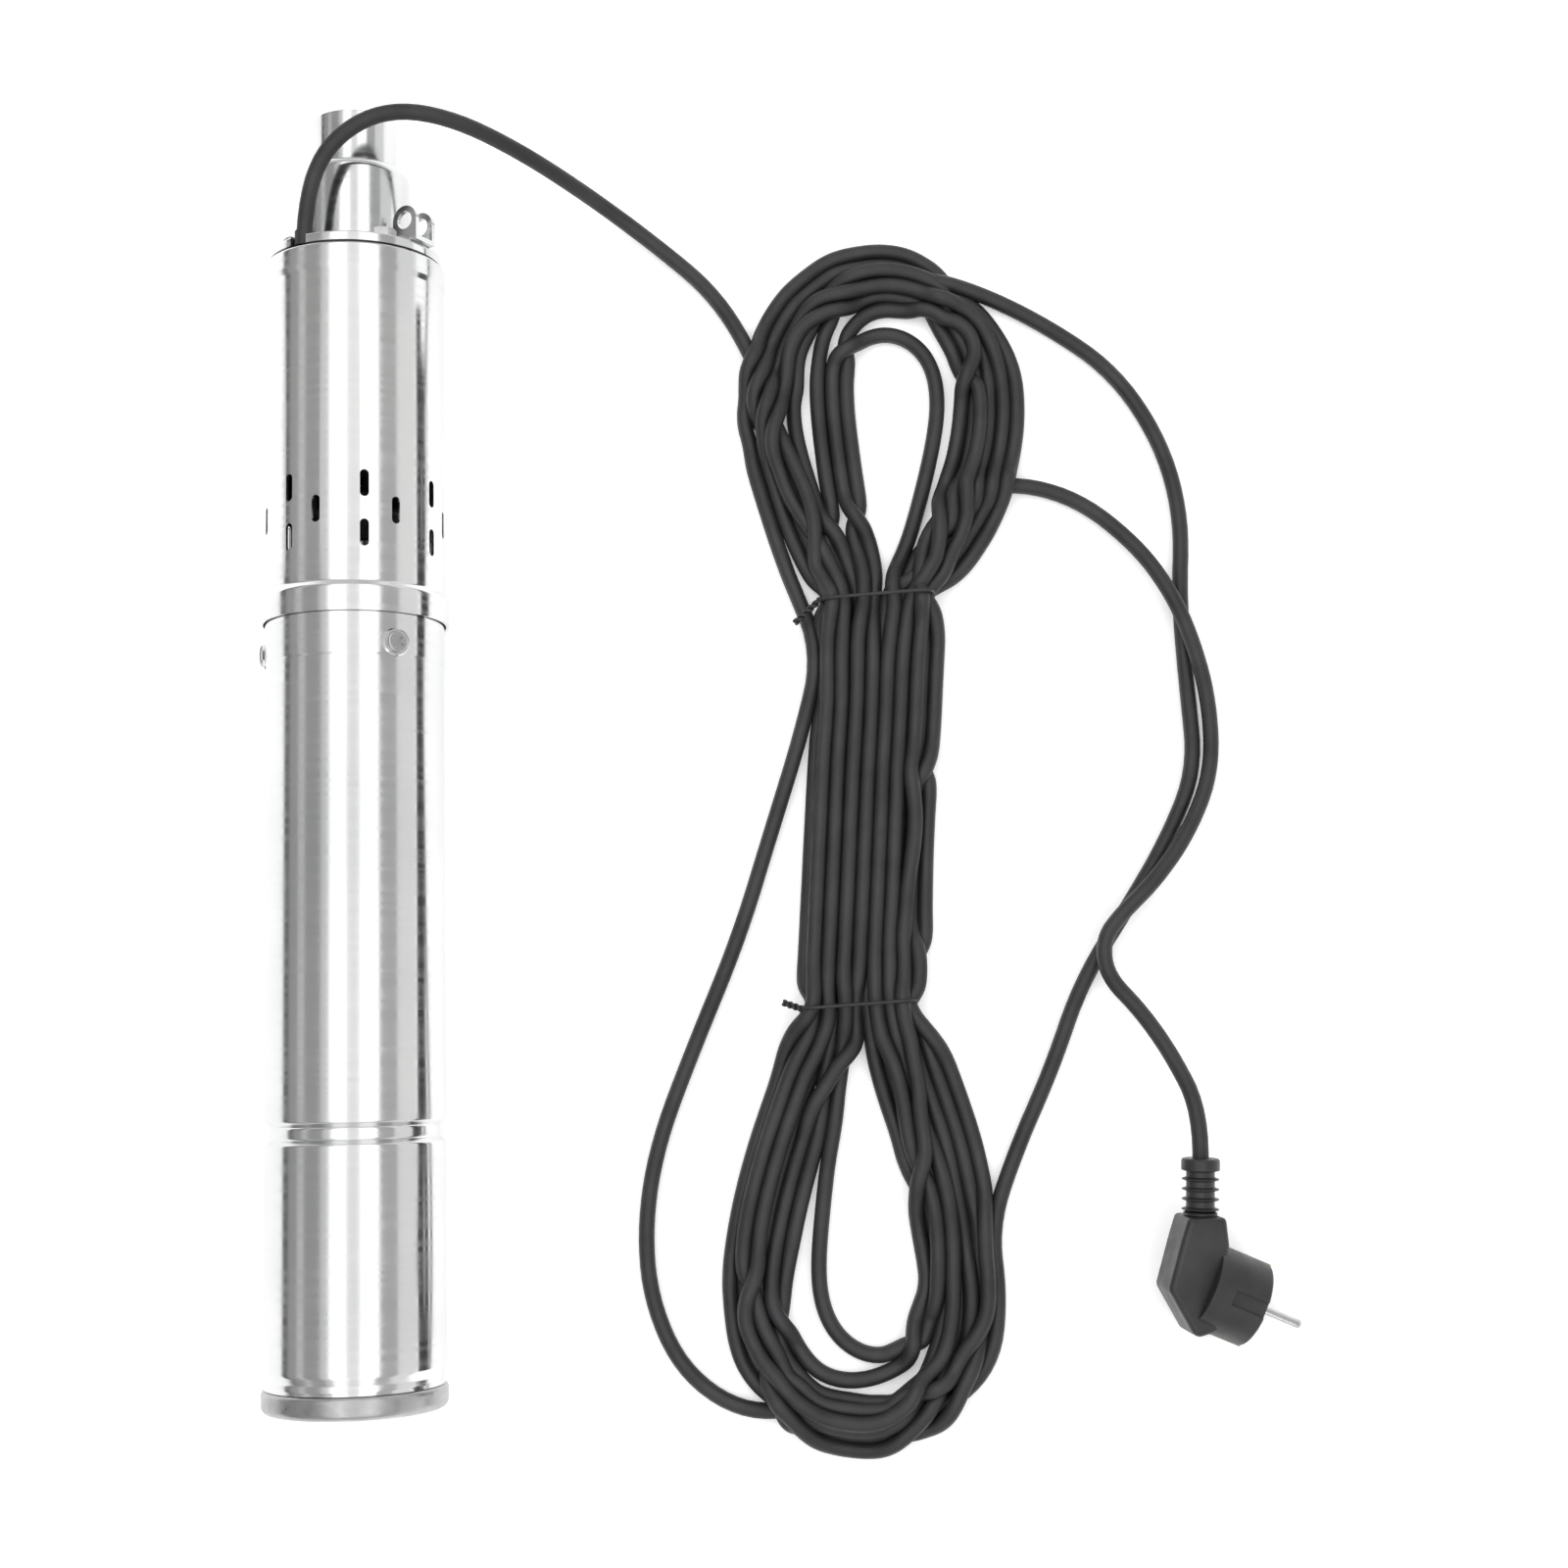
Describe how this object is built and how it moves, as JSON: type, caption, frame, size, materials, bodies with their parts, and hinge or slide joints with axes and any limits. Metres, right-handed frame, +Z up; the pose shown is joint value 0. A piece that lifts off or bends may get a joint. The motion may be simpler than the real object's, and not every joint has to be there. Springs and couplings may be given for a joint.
{
  "type": "submersible borehole pump",
  "caption": "Polished stainless screw pump for boreholes, lying on its side, with slotted intake, threaded outlet, rope lugs and a long cable tied in a hank.",
  "frame": {"origin": "on the floor under the middle of the pump, which lies on its side", "axes": "+Y along the pump towards its outlet, +X across the floor towards the cable, +Z up"},
  "size_m": [0.4344, 0.5807, 0.0803],
  "materials": {
    "polished_steel": "polished stainless",
    "cast_aluminium": "satin",
    "zinc_screws": "bright",
    "black_rubber": "matte",
    "cable_rubber": "matte",
    "plug_plastic": "matte moulded",
    "nickel_pins": "bright nickel",
    "core_steel": "oiled lamination",
    "shaft_steel": "ground",
    "bearing_steel": "ground",
    "cast_iron": "machined",
    "brass_parts": "machined",
    "copper": "varnished winding",
    "ceramic": "lapped",
    "white_plastic": "matte",
    "stage_rubber": "matte"
  },
  "bodies": {
    "pump": {"base_ring": "cast_aluminium", "oil_plug": "zinc_screws", "base_o_ring": "black_rubber", "diaphragm": "black_rubber", "capacitor": "white_plastic", "capacitor_clip": "shaft_steel", "motor_tube": "polished_steel", "lower_bearing_housing": "cast_iron", "lower_outer_race": "bearing_steel", "upper_bearing_housing": "cast_iron", "housing_o_ring": "black_rubber", "upper_outer_race": "bearing_steel", "bearing_balls": "bearing_steel", "stator_core": "core_steel", "windings": "copper", "thermal_protector": "white_plastic", "lead_wires": "copper", "seal_seat": "ceramic", "rubber_stator": "stage_rubber", "stage_sleeve": "polished_steel", "intake_body": "cast_iron", "inner_cable": "cable_rubber", "discharge_body": "cast_iron", "pump_tube": "polished_steel", "head_gasket": "black_rubber", "head_plate": "polished_steel", "head_bolts": "zinc_screws", "outlet_body": "polished_steel", "rope_lug_right": "polished_steel", "rope_lug_left": "polished_steel", "lug_screws": "zinc_screws", "side_screws": "zinc_screws", "side_washers": "polished_steel", "cable_grommet": "black_rubber", "valve_seat": "brass_parts", "valve_guide": "brass_parts", "valve_spring": "shaft_steel", "cable_lead": "cable_rubber", "cable_hank": "cable_rubber", "cable_loop_right": "cable_rubber", "cable_loop_left": "cable_rubber", "cable_tail": "cable_rubber", "twist_tie_upper": "black_rubber", "twist_tie_lower": "black_rubber", "plug_body": "plug_plastic", "plug_pins": "nickel_pins", "earth_contacts": "brass_parts", "plug_strain_relief": "plug_plastic"},
    "motor": {"motor_shaft": "shaft_steel", "rotor_core": "core_steel", "rotor_end_rings": "cast_aluminium", "lower_inner_race": "bearing_steel", "upper_inner_race": "bearing_steel", "seal_ring": "stage_rubber", "sand_slinger": "black_rubber", "coupling_socket": "shaft_steel"},
    "carrier": {"coupling_boot": "black_rubber"},
    "rod": {"connecting_rod": "shaft_steel"},
    "screw": {"screw_rotor": "shaft_steel"},
    "valve": {"valve_poppet": "brass_parts"}
  },
  "joints": [
    {"name": "motor_spin", "type": "hinge", "parent": "pump", "child": "motor", "pos_m": [0, 0, 0.0398], "axis": [0, 1, 0], "continuous": true},
    {"name": "orbit", "type": "hinge", "parent": "pump", "child": "carrier", "pos_m": [0, 0.083, 0.0398], "axis": [0, 1, 0], "continuous": true},
    {"name": "rod_turn", "type": "hinge", "parent": "carrier", "child": "rod", "pos_m": [0, 0.08325, 0.0398], "axis": [0.1322, 0.9912, 0], "continuous": true},
    {"name": "screw_turn", "type": "hinge", "parent": "carrier", "child": "screw", "pos_m": [0.0028, 0.12, 0.0398], "axis": [0, 1, 0], "continuous": true},
    {"name": "valve_lift", "type": "slide", "parent": "pump", "child": "valve", "axis": [0, 1, 0], "range_m": [0, 0.007], "stiffness_N_per_m": 60, "springref_m": -0.01, "deforming": ["valve_spring"]}
  ],
  "couplings": [
    {"joint": "orbit", "follows": "motor_spin", "ratio": -1},
    {"joint": "rod_turn", "follows": "motor_spin", "ratio": 2},
    {"joint": "screw_turn", "follows": "motor_spin", "ratio": 2}
  ]
}
